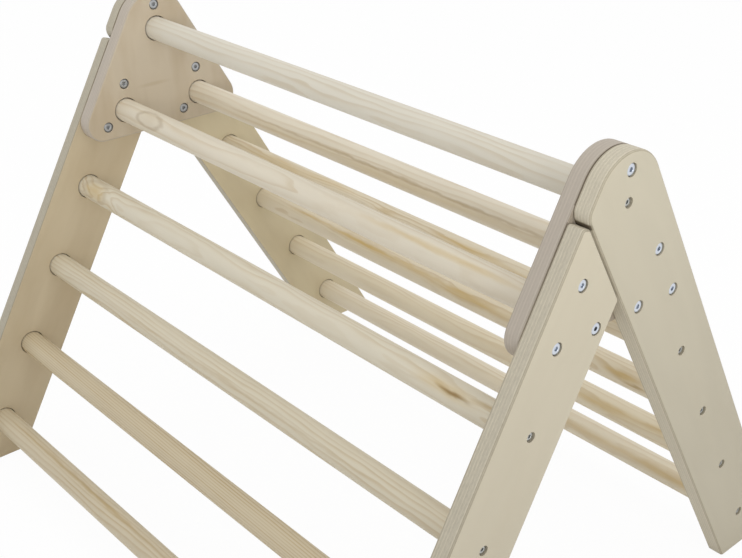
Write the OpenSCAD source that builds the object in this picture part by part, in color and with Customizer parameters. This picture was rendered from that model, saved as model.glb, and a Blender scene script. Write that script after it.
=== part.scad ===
// Folding climbing triangle for small children.
// X runs along the rungs, Y from the front ladder to the rear ladder, Z up from the floor.
// The origin is on the floor, under the middle of the top rung.

/* [Frame] */
// Width over the two side frames
outer_width = 750; // [500:10:1000]
// Height of the top rung's centre above the floor
top_rung_height = 508; // [500:1:560]
// Lean of each ladder from upright, in degrees
ladder_lean = 30; // [27:0.5:31]
// Distance from rung to rung along a ladder
rung_spacing = 105; // [98:1:106]

/* [Boards] */
// Thickness of the leg boards and of the gusset plates
board_thickness = 18; // [18:1:21]
// Width of a leg board
leg_width = 88; // [84:1:96]
// Rise of the apex arc's centre above the top rung
apex_rise = 2; // [0:0.5:6]
// Rounding of the rear leg's tip beside the front leg
tip_radius = 13.5; // [4:0.5:16]
// Drop of the front leg's upper end below the top rung, at its outer edge
front_end_drop = 7.2; // [6:0.1:12]
// Drop of the front leg's upper end below the top rung, at the seam
front_seam_drop = 10; // [9:0.1:14]
// Width of the seam between front and rear leg
seam_gap = 1.2; // [0.6:0.1:2]
// Clearance between the swinging front leg and the plate
running_gap = 0.3; // [0.3:0.05:0.6]
// Drop of the gusset plate's lower edge below the top rung
plate_drop = 124; // [122:1:140]
// Rounding of the gusset plate's lower corners
plate_corner_radius = 22.5; // [10:0.5:24]

/* [Rungs] */
// Diameter of the rungs
rung_diameter = 28; // [25:1:30]
// Diameter of the sockets that take the rung ends
socket_diameter = 30.5; // [30.2:0.1:32]
// Depth of the rung sockets
socket_depth = 9; // [6:0.5:10]

/* [Connector bolts] */
// Rise of the apex bolt above the top rung
apex_bolt_rise = 28.7; // [25:0.1:30]
// Rise of the upper bolt above the plate's lower rung
upper_bolt_rise = 32.4; // [28:0.1:34]
// Shift of the upper bolt from that rung towards the apex
upper_bolt_shift = 1.4; // [0:0.1:3]
// Drop of the two lower bolts below that rung
lower_bolt_drop = 16.3; // [14:0.1:18]
// Distance of the outer lower bolt from that rung
outer_bolt_shift = 26.3; // [24:0.1:28]
// Distance of the inner lower bolt from that rung
inner_bolt_shift = 23.6; // [22:0.1:25]
// Diameter of bolt heads and of sleeve nut caps
cap_diameter = 12; // [10:0.5:12]
// Thickness of bolt heads and of sleeve nut caps
cap_thickness = 2.2; // [1.6:0.1:2.4]
// Diameter of the bolt shanks
bolt_diameter = 6; // [5:0.5:6]
// Outside diameter of the sleeve nuts
sleeve_diameter = 9; // [8.5:0.5:10]
// Radial clearance of the front leg on its pivot sleeve
pivot_clearance = 0.06; // [0.02:0.01:0.1]

/* [Rung screws] */
// Diameter of the screw heads
screw_head_diameter = 8.6; // [7:0.1:9]
// Diameter of the screw shanks
screw_diameter = 4.6; // [4:0.1:5]
// Length of the screws in the legs, under the head
screw_length = 50; // [35:1:60]
// Length of the top rung's screws, under the head
top_screw_length = 75; // [60:1:90]

/* [Hidden] */

$fn = 64;

// Colours of the finished object
birch = "#d3c7ae";
birch_inside = "#bfae90";
pine = "#cdb891";
zinc = "#c3c6cb";
dull_zinc = "#8f8f8c";

// Sides of the triangle: the front ladder leans to -Y, the rear one to +Y
front = -1;
rear = 1;

// Planes across the width, on the right-hand side
outer_face = outer_width / 2;
joint_face = outer_face - board_thickness;
plate_face = joint_face - board_thickness;
leg_socket_end = joint_face + socket_depth;
plate_socket_end = plate_face + socket_depth;

// Rungs carried by each leg, the first one below the plate's own lower rung
leg_rung_numbers = [1 : 4];

// Recesses for heads and caps, and the play round fixed shanks
cap_recess_depth = 3;
cap_play = 0.6;
shank_play = 0.4;
sleeve_wall_play = 0.2;
screw_recess_diameter = 10;
screw_recess_depth = 4;
screw_head_thickness = 2.2;
hidden_recess_depth = 3;
screw_play = 0.2;
head_chamfer = 0.5;
hex_corners = 6;
bolt_hex = 4.6;
bolt_hex_depth = 2.5;
screw_hex = 3.6;
screw_hex_depth = 1.4;

// Reach of the connector bolts into the sleeve nuts
bolt_length = 27;
sleeve_end_gap = 0.5;
sleeve_bore_start = 2;

// Cuts run past a face by this much
cut = 1;

// Straight pieces in each arc of an outline
arc_steps = 24;

half_leg = leg_width / 2;

// A point in the side view, from the top rung: down the ladder's line, then out square to it
function on_ladder(side, down, out) = [
    side * (down * sin(ladder_lean) + out * cos(ladder_lean)),
    out * sin(ladder_lean) - down * cos(ladder_lean)
];

// A point of the same line at a given height above the top rung
function at_height(side, height, out) =
    on_ladder(side, (out * sin(ladder_lean) - height) / cos(ladder_lean), out);

// Places in the side view, all measured from the top rung
function rung_place(side, number) = on_ladder(side, (number + 1) * rung_spacing, 0);
function upper_bolt_place(side) =
    rung_place(side, 0) + [-side * upper_bolt_shift, upper_bolt_rise];
function outer_bolt_place(side) =
    rung_place(side, 0) + [side * outer_bolt_shift, -lower_bolt_drop];
function inner_bolt_place(side) =
    rung_place(side, 0) + [-side * inner_bolt_shift, -lower_bolt_drop];

top_place = [0, 0];
apex_bolt_place = [0, apex_bolt_rise];
pivot_place = inner_bolt_place(front);
lock_places = [upper_bolt_place(front), outer_bolt_place(front)];
rear_bolt_places = [
    apex_bolt_place, upper_bolt_place(rear), outer_bolt_place(rear), inner_bolt_place(rear)
];

// Height of the floor in the side view
floor_height = -top_rung_height;

// The apex arc touches the outer edges of both ladders
apex_radius = half_leg - apex_rise * sin(ladder_lean);
apex_centre = [0, apex_rise];

// The rear leg's tip is where the front outer edge meets the rear inner edge
tip_corner = [-half_leg / cos(ladder_lean), 0];
tip_centre = tip_corner + [tip_radius / cos(ladder_lean), 0];

// The plate's lower corners lie between the outer edge and the level lower edge
corner_height = plate_corner_radius - plate_drop;
corner_out = half_leg - plate_corner_radius;

// Points along an arc, from one angle to another
function arc(centre, radius, from_angle, to_angle) = [
    for (step = [0 : arc_steps])
        let (angle = from_angle + (to_angle - from_angle) * step / arc_steps)
            centre + radius * [cos(angle), sin(angle)]
];

// The apex that rear leg and plate share, from the rear edge over to the front edge
function apex_arc() = arc(apex_centre, apex_radius, ladder_lean, 180 - ladder_lean);

// Copies its children to the named side of the object
module on_side(side) {
    if (side == "left") mirror([1, 0, 0]) children();
    else children();
}

// Raises a side view outline into a board that starts at x
module board(x, thickness) {
    translate([x, 0, top_rung_height])
        rotate([90, 0, 90])
            linear_extrude(height = thickness) children();
}

// A straight round bar or cutter along X, from one x to another
module bar(place, from_x, to_x, diameter) {
    translate([from_x, place[0], top_rung_height + place[1]])
        rotate([0, 90, 0])
            cylinder(h = to_x - from_x, d = diameter);
}

// Stands a fastener on a plane with its head outwards
module facing_out(place, x) {
    translate([x, place[0], top_rung_height + place[1]]) rotate([0, 90, 0]) children();
}

// Stands a fastener on a plane with its head towards the middle of the object
module facing_in(place, x) {
    translate([x, place[0], top_rung_height + place[1]]) rotate([0, -90, 0]) children();
}

// A bolt or screw: its head stands on z = 0 and its shank hangs below
module headed_fastener(head_d, head_t, shank_d, length, hex, hex_depth) {
    difference() {
        union() {
            rotate_extrude() polygon([
                [0, 0],
                [head_d / 2, 0],
                [head_d / 2, head_t - head_chamfer],
                [head_d / 2 - head_chamfer, head_t],
                [0, head_t]
            ]);
            translate([0, 0, -length]) cylinder(h = length, d = shank_d);
        }
        translate([0, 0, head_t - hex_depth])
            cylinder(h = hex_depth + cut, d = hex, $fn = hex_corners);
    }
}

// A sleeve nut: a capped barrel, bored for the bolt from its open end
module sleeve_nut(barrel_length) {
    difference() {
        headed_fastener(cap_diameter, cap_thickness, sleeve_diameter, barrel_length,
            bolt_hex, bolt_hex_depth);
        translate([0, 0, -barrel_length - cut])
            cylinder(h = barrel_length + cut - sleeve_bore_start, d = bolt_diameter + screw_play);
    }
}

// A connector bolt whose shank ends at a given x, seated in the leg's outer face
module connector_bolt(place, seat_x, end_x) {
    facing_out(place, seat_x)
        headed_fastener(cap_diameter, cap_thickness, bolt_diameter, seat_x - end_x,
            bolt_hex, bolt_hex_depth);
}

// A rung screw seated at a given x, with its head outwards
module rung_screw(place, seat_x, length) {
    facing_out(place, seat_x)
        headed_fastener(screw_head_diameter, screw_head_thickness, screw_diameter, length,
            screw_hex, screw_hex_depth);
}

// Side view of the rear leg: a straight board under the whole rounded apex
module rear_leg_outline() {
    polygon(concat(
        [at_height(rear, floor_height, half_leg)],
        apex_arc(),
        arc(tip_centre, tip_radius, 180 - ladder_lean, 180 + ladder_lean),
        [at_height(rear, floor_height, -half_leg)]
    ));
}

// Side view of the front leg: its upper end lies along the rear leg's inner edge
module front_leg_outline() {
    seam_out = half_leg + seam_gap;
    seam_corner_down = (seam_out + half_leg * cos(2 * ladder_lean)) / sin(2 * ladder_lean);
    polygon([
        at_height(front, -front_end_drop, half_leg),
        at_height(rear, -front_seam_drop, -seam_out),
        on_ladder(front, seam_corner_down, -half_leg),
        at_height(front, floor_height, -half_leg),
        at_height(front, floor_height, half_leg)
    ]);
}

// Side view of the gusset plate: an apex, two straight edges and two rounded lower corners
module plate_outline() {
    front_corner = at_height(front, corner_height, corner_out);
    rear_corner = at_height(rear, corner_height, corner_out);
    polygon(concat(
        apex_arc(),
        arc(front_corner, plate_corner_radius, 180 - ladder_lean, 270),
        arc(rear_corner, plate_corner_radius, 270, 360 + ladder_lean)
    ));
}

// Holes for a connector bolt in a leg: a head recess and a clearance hole
module leg_bolt_hole(place, diameter) {
    bar(place, outer_face - cap_recess_depth, outer_face + cut, cap_diameter + cap_play);
    bar(place, joint_face - cut, outer_face, diameter);
}

// Holes for a rung in a leg: the socket, the screw hole and the head recess
module leg_rung_hole(place) {
    bar(place, joint_face - cut, leg_socket_end, socket_diameter);
    bar(place, joint_face, outer_face, screw_diameter + screw_play);
    bar(place, outer_face - screw_recess_depth, outer_face + cut, screw_recess_diameter);
}

// Holes for a sleeve nut in the plate: the cap's recess and the barrel's hole
module plate_sleeve_hole(place) {
    bar(place, plate_face - cut, plate_face + cap_recess_depth, cap_diameter + cap_play);
    bar(place, plate_face, joint_face + cut, sleeve_diameter + sleeve_wall_play);
}

// Socket and screw hole for a rung in the plate
module plate_rung_hole(place) {
    bar(place, plate_face - cut, plate_socket_end, socket_diameter);
    bar(place, plate_face, joint_face + cut, screw_diameter + screw_play);
}

module rear_leg(side) {
    color(birch) on_side(side) difference() {
        board(joint_face, board_thickness) rear_leg_outline();
        for (place = rear_bolt_places) leg_bolt_hole(place, bolt_diameter + shank_play);
        for (number = leg_rung_numbers) leg_rung_hole(rung_place(rear, number));
        bar(top_place, joint_face - cut, outer_face, screw_diameter + screw_play);
        bar(top_place, outer_face - screw_recess_depth, outer_face + cut, screw_recess_diameter);
    }
}

module front_leg(side) {
    color(birch) on_side(side) difference() {
        board(joint_face + running_gap, board_thickness - running_gap) front_leg_outline();
        for (place = lock_places) leg_bolt_hole(place, bolt_diameter + shank_play);
        leg_bolt_hole(pivot_place, sleeve_diameter + 2 * pivot_clearance);
        for (number = leg_rung_numbers) leg_rung_hole(rung_place(front, number));
    }
}

module gusset_plate(side) {
    color(birch_inside) on_side(side) difference() {
        board(plate_face, board_thickness) plate_outline();
        for (place = concat(rear_bolt_places, lock_places, [pivot_place]))
            plate_sleeve_hole(place);
        for (place = [top_place, rung_place(front, 0), rung_place(rear, 0)])
            plate_rung_hole(place);
        for (place = [rung_place(front, 0), rung_place(rear, 0)])
            bar(place, joint_face - hidden_recess_depth, joint_face + cut, screw_recess_diameter);
    }
}

// A rung from socket to socket, with a pilot hole for a screw in each end
module rung(place, end_x, pilot_depth) {
    color(pine) difference() {
        bar(place, -end_x, end_x, rung_diameter);
        for (side = ["left", "right"]) on_side(side)
            bar(place, end_x - pilot_depth, end_x + cut, screw_diameter + screw_play);
    }
}

module leg_rung(side, number) {
    rung(rung_place(side, number), leg_socket_end, screw_length);
}

module plate_rung(side) {
    rung(rung_place(side, 0), plate_socket_end, screw_length);
}

module top_rung() {
    rung(top_place, plate_socket_end, top_screw_length);
}

module rear_bolts(side) {
    seat = outer_face - cap_recess_depth;
    color(zinc) on_side(side)
        for (place = rear_bolt_places) connector_bolt(place, seat, seat - bolt_length);
}

// The lock bolts' shanks end at the joint, where they would be drawn out to fold the frame
module lock_bolts(side) {
    color(zinc) on_side(side)
        for (place = lock_places)
            connector_bolt(place, outer_face - cap_recess_depth, joint_face + running_gap);
}

// Fixed sleeve nuts end inside the plate
module fixed_sleeve_nuts(side, places) {
    color(dull_zinc) on_side(side)
        for (place = places)
            facing_in(place, plate_face + cap_recess_depth)
                sleeve_nut(board_thickness - cap_recess_depth - sleeve_end_gap);
}

// The pivot's sleeve runs on through the front leg, which turns on it
module pivot_sleeve_nut(side) {
    length = 2 * (board_thickness - cap_recess_depth) + running_gap;
    color(dull_zinc) on_side(side)
        facing_in(pivot_place, plate_face + cap_recess_depth) sleeve_nut(length);
}

// The pivot bolt's head stops against the sleeve's end, clear of the front leg
module pivot_bolt(side) {
    seat = outer_face - cap_recess_depth + running_gap;
    color(zinc) on_side(side) connector_bolt(pivot_place, seat, seat - bolt_length);
}

module top_rung_screw(side) {
    color(dull_zinc) on_side(side)
        rung_screw(top_place, outer_face - screw_recess_depth, top_screw_length);
}

module leg_rung_screws(side, ladder) {
    color(dull_zinc) on_side(side)
        for (number = leg_rung_numbers)
            rung_screw(rung_place(ladder, number), outer_face - screw_recess_depth, screw_length);
}

module gusset_rung_screws(side) {
    color(dull_zinc) on_side(side)
        for (ladder = [front, rear])
            rung_screw(rung_place(ladder, 0), joint_face - hidden_recess_depth, screw_length);
}

rear_leg("left");  // left_rear_leg
rear_leg("right");  // right_rear_leg
front_leg("left");  // left_front_leg
front_leg("right");  // right_front_leg
gusset_plate("left");  // left_gusset_plate
gusset_plate("right");  // right_gusset_plate
top_rung();
plate_rung(front);  // upper_front_rung
plate_rung(rear);  // upper_rear_rung
for (number = leg_rung_numbers) {
    leg_rung(front, number);
    leg_rung(rear, number);
}
for (side = ["left", "right"]) {
    rear_bolts(side);
    fixed_sleeve_nuts(side, rear_bolt_places);
    lock_bolts(side);
    fixed_sleeve_nuts(side, lock_places);
    pivot_bolt(side);
    pivot_sleeve_nut(side);
    top_rung_screw(side);
    leg_rung_screws(side, front);
    leg_rung_screws(side, rear);
    gusset_rung_screws(side);
}
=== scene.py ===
import bpy
import bmesh
import math
import random
from mathutils import Matrix, Vector


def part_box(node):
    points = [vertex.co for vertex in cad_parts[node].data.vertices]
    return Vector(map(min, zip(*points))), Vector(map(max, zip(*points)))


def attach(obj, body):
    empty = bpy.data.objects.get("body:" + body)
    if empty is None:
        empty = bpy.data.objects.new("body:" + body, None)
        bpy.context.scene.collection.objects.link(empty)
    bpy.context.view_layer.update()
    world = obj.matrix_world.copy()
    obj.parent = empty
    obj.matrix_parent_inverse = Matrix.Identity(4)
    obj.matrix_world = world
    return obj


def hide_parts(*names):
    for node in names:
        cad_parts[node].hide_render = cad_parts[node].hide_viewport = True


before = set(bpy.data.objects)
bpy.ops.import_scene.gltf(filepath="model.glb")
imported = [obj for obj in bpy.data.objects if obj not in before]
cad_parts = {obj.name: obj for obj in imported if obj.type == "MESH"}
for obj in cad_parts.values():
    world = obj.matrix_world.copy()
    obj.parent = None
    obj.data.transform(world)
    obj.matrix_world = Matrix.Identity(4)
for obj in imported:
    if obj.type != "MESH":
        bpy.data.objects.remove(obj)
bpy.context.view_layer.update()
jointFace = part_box("right_gusset_plate")[1].x  # where legs and gusset plates meet
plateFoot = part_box("right_gusset_plate")[0].z
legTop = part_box("right_front_leg")[1].z
ladderLean = math.radians(30)  # from upright


def toLinear(hexColour):
    channels = [int(hexColour[i:i + 2], 16) / 255 for i in (1, 3, 5)]
    return tuple(c / 12.92 if c <= 0.04045 else ((c + 0.055) / 1.055) ** 2.4 for c in channels) + (1,)


def addNode(tree, kind, inputs=None, out=0, **settings):
    # adds a node, fills or links its inputs, and returns one of its outputs
    node = tree.nodes.new(kind)
    for name, value in settings.items():
        setattr(node, name, value)
    for key, value in (inputs or {}).items():
        if isinstance(value, bpy.types.NodeSocket):
            tree.links.new(value, node.inputs[key])
        else:
            node.inputs[key].default_value = value
    return node.outputs[out] if len(node.outputs) else node


def atAngle(distance, angle):
    # the two coordinates of a point this far from the middle
    return distance * math.cos(angle), distance * math.sin(angle)


def emptyMaterial(name):
    material = bpy.data.materials.new(name)
    material.use_nodes = True
    material.node_tree.nodes.clear()
    return material, material.node_tree


def addObject(name, data):
    made = bpy.data.objects.new(name, data)
    bpy.context.scene.collection.objects.link(made)
    return made


# Camera, floor and light

photoCamera = {
    "place": (0.9049, -0.7345, 0.8942),
    "tilt": 62.072,  # degrees up from straight down
    "turn": 47.518,  # degrees about the vertical
    "lens": 57.46,  # mm
    "sensor": 36,  # mm
    "shift": (-0.0437, 0.0201),  # the photograph is a crop from off the lens's centre
    "clip": (0.05, 50),
}

studio = {
    "ambient": 0.725,  # strength of the pale room
    # lamps: watts, side in metres, place, height aimed at, angle its honeycomb lets through
    "keyLamp": (1.25, 1.0, (1.5, -0.6, 1.0), 0.85, 40),
    "topLamp": (14, 2.4, (0.1, 0.3, 2.6), 0.35, 180),
    "lampColour": "#ffffff",
    "floorSize": 12,
    "floorColour": "#fefefe",
    "paperFibres": 900,  # per metre
    "floorShadowShare": 0.05,  # how much of the lit floor the camera sees under the white
}


def placeCamera():
    data = bpy.data.cameras.new("photoCamera")
    data.sensor_width = photoCamera["sensor"]
    data.lens = photoCamera["lens"]
    data.shift_x, data.shift_y = photoCamera["shift"]
    data.clip_start, data.clip_end = photoCamera["clip"]
    camera = addObject("photoCamera", data)
    camera.location = photoCamera["place"]
    camera.rotation_euler = (math.radians(photoCamera["tilt"]), 0, math.radians(photoCamera["turn"]))
    bpy.context.scene.camera = camera


def whiteToCamera(tree):
    # 1 for the rays that should see plain white: from the camera, from metal and through glass
    path = tree.nodes.new("ShaderNodeLightPath")
    cameraOrGlossy = addNode(tree, "ShaderNodeMath", {
        0: path.outputs["Is Camera Ray"], 1: path.outputs["Is Glossy Ray"]}, operation="MAXIMUM")
    return addNode(tree, "ShaderNodeMath", {
        0: cameraOrGlossy, 1: path.outputs["Is Transmission Ray"]}, operation="MAXIMUM")


def buildRoom():
    world = bpy.data.worlds.new("paleRoom")
    world.use_nodes = True
    bpy.context.scene.world = world
    tree = world.node_tree
    tree.nodes.clear()
    room = addNode(tree, "ShaderNodeBackground", {"Color": (1, 1, 1, 1), "Strength": studio["ambient"]})
    white = addNode(tree, "ShaderNodeBackground", {"Color": (1, 1, 1, 1), "Strength": 1})
    mixed = addNode(tree, "ShaderNodeMixShader", {0: whiteToCamera(tree), 1: room, 2: white})
    addNode(tree, "ShaderNodeOutputWorld", {"Surface": mixed})


def floorPaper():
    # seamless white paper: matt, and white to the camera but for a faint shadow of the object
    material, tree = emptyMaterial("seamlessPaper")
    place = addNode(tree, "ShaderNodeTexCoord", out="Object")
    fibre = addNode(tree, "ShaderNodeTexNoise", {
        "Vector": place, "Scale": studio["paperFibres"], "Detail": 2})
    tint = addNode(tree, "ShaderNodeMix", {
        0: fibre, 6: toLinear(studio["floorColour"]), 7: toLinear("#ffffff")}, out=2, data_type="RGBA")
    lit = addNode(tree, "ShaderNodeBsdfDiffuse", {"Color": tint, "Roughness": 0.5})
    white = addNode(tree, "ShaderNodeEmission", {"Color": (1, 1, 1, 1), "Strength": 1})
    share = addNode(tree, "ShaderNodeMath", {
        0: whiteToCamera(tree), 1: 1 - studio["floorShadowShare"]}, operation="MULTIPLY")
    mixed = addNode(tree, "ShaderNodeMixShader", {0: share, 1: lit, 2: white})
    addNode(tree, "ShaderNodeOutputMaterial", {"Surface": mixed})
    return material


def layFloor():
    half = studio["floorSize"] / 2
    corners = [(-half, -half, 0), (half, -half, 0), (half, half, 0), (-half, half, 0)]
    mesh = bpy.data.meshes.new("floor")
    mesh.from_pydata(corners, [], [(0, 1, 2, 3)])
    mesh.materials.append(floorPaper())
    floor = addObject("floor", mesh)


def hangLamp(name):
    power, size, place, aim, spread = studio[name]
    data = bpy.data.lights.new(name, "AREA")
    data.energy = power
    data.size = size
    data.spread = math.radians(spread)
    data.color = toLinear(studio["lampColour"])[:3]
    lamp = addObject(name, data)
    lamp.location = place
    towards = Vector((0, 0, aim)) - Vector(place)
    lamp.rotation_euler = towards.to_track_quat("-Z", "Y").to_euler()


placeCamera()
buildRoom()
layFloor()
hangLamp("keyLamp")
hangLamp("topLamp")
bpy.context.scene.view_settings.view_transform = "Standard"
print("camera, floor and lamps placed")


# Materials


def woodGrain(tree, place, perMetre, detail=2, out=0):
    # a random pattern with so many repeats per metre along each axis, fewest along the wood
    stretched = addNode(tree, "ShaderNodeMapping", {"Vector": place, "Scale": perMetre})
    return addNode(tree, "ShaderNodeTexNoise", {"Vector": stretched, "Scale": 1, "Detail": detail}, out=out)


def lighterAndDarker(tree, pattern, contrast, shade=1.0):
    # a shade that follows a pattern of 0 to 1, lighter above its middle and darker below
    centred = addNode(tree, "ShaderNodeMath", {0: pattern, 1: 0.5}, operation="SUBTRACT")
    return addNode(tree, "ShaderNodeMath", {0: centred, 1: contrast, 2: shade}, operation="MULTIPLY_ADD")


def awayFromSpot(tree, place, spot, halfSizes):
    # how far each place is from a spot: 0 in its middle, 1 on its outline
    away = addNode(tree, "ShaderNodeVectorMath", {0: place, 1: spot}, operation="SUBTRACT")
    scaled = addNode(tree, "ShaderNodeVectorMath", {
        0: away, 1: [1 / half for half in halfSizes]}, operation="MULTIPLY")
    return addNode(tree, "ShaderNodeVectorMath", {0: scaled}, out="Value", operation="LENGTH")


def strayed(tree, place, perMetre, detail, reach):
    # each place moved at random, by up to half the reach along each axis
    pattern = woodGrain(tree, place, perMetre, detail, "Color")
    centred = addNode(tree, "ShaderNodeVectorMath", {0: pattern, 1: (0.5, 0.5, 0.5)}, operation="SUBTRACT")
    return addNode(tree, "ShaderNodeVectorMath", {
        0: centred, 1: reach, 2: place}, operation="MULTIPLY_ADD")


def oiledSurface(tree, stock, colour, fibres, height):
    # matt oil on sanded wood: its fibres make it rougher, and raise it by a few hundredths of a mm
    least, most = stock["roughness"]
    roughness = addNode(tree, "ShaderNodeMapRange", {0: fibres, 3: least, 4: most})
    bump = addNode(tree, "ShaderNodeBump", {"Strength": 0.12, "Distance": 0.0002, "Height": height})
    surface = addNode(tree, "ShaderNodeBsdfPrincipled", {
        "Base Color": colour, "Roughness": roughness, "Normal": bump,
        "IOR": stock["ior"], "Specular IOR Level": stock["specular"]})
    addNode(tree, "ShaderNodeOutputMaterial", {"Surface": surface})


birchPly = {
    "thickness": 0.018,
    "plies": 13,  # the grain runs crosswise in every second one
    "faceVeneer": 0.0004,  # the two outermost plies, sanded thin
    "glue": "#94886f",
    "glueShare": 0.10,  # of one ply
    "glueStrength": 0.34,
    "underVeneer": (0.50, 0.18),  # glue in the ply under each face veneer: at its glue lines, in its middle
    "plyToPly": 0.05,  # difference in shade between one ply and the next
    "endGrain": 0.34,
    "edgePatches": 0.09,  # slow change of tone along an edge
    "streak": "#a08a68",  # brown mineral streaks in the face veneers
    "outsideStreaks": 0.2,  # share of them on the outer faces, which are the better veneer
    "figure": 0.022,  # contrast of the rotary-cut figure on the faces
    "fibres": 0.03,
    "groove": "#5d513f",  # shade and dust in the line where leg and gusset plate meet
    "grooveWidth": 0.0009,
    "grooveStrength": 0.75,
    "faceOn": 0.93,  # X of the normal above which a surface is a face of the board, with no groove
    "roughness": (0.56, 0.70),
    "ior": 1.5,
    "specular": 0.35,
    # repeats per metre through, across and along the board, and their size in mm
    "contours": (0, 16, 2.2),  # 60 wide, 450 long
    "streakGrain": (0, 24, 7),  # 40 wide, 140 long
    "fibreGrain": (1500, 1100, 45),  # 0.7 by 0.9, 22 long
    "patchGrain": (120, 22, 22),  # 8 by 45, 45 long
    "fleckGrain": (1400, 420, 300),  # 0.7 by 2.4, 3.3 long
}

# each kind of board: the veneers of its two faces, its plies cut along and across, its share of streaks,
# the contrast of its edges, and the painted shade and dust at the end of the seam under the apex: Y, Z, the
# radius where it starts to fade, where it ends, and its strength, or -1 where the plate's arris stands open
# and has no line. A mark is a darker brown patch of its own: X, Y, Z, half width, half height, share of brown
plyStock = {
    "birchPlywoodFrontLegs": {
        "outside": "#cfc6b0", "inside": "#c4b598", "longPly": "#c6beab", "crossPly": "#beb6a3",
        "streaks": 0.30, "edgeContrast": 1.25, "seamShade": (-0.0464, 0.4980, 0.0003, 0.0015, 0.4),
        "marks": []},
    "birchPlywoodRearLegs": {
        "outside": "#c8c0ab", "inside": "#cfc2a2", "longPly": "#c8c0ad", "crossPly": "#c0b8a4",
        "streaks": 0.20, "edgeContrast": 1.25, "seamShade": (-0.0456, 0.4988, 0.0022, 0.0042, 0.9),
        "marks": []},
    "birchPlywoodPlates": {
        # the plates' outside veneer is darker than the wood: painted shade where it shows between the legs
        "outside": "#a99e8e", "inside": "#c0b39d", "longPly": "#b9afa2", "crossPly": "#b3a99c",
        "streaks": 0.45, "edgeContrast": 0.5, "seamShade": (-0.0509, 0.5075, 0.0066, 0.0078, -1),
        "marks": [(-0.321, -0.0175, 0.478, 0.011, 0.030, 0.65),
                  (-0.321, -0.011, 0.4415, 0.030, 0.0040, 0.45)]},
}


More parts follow.
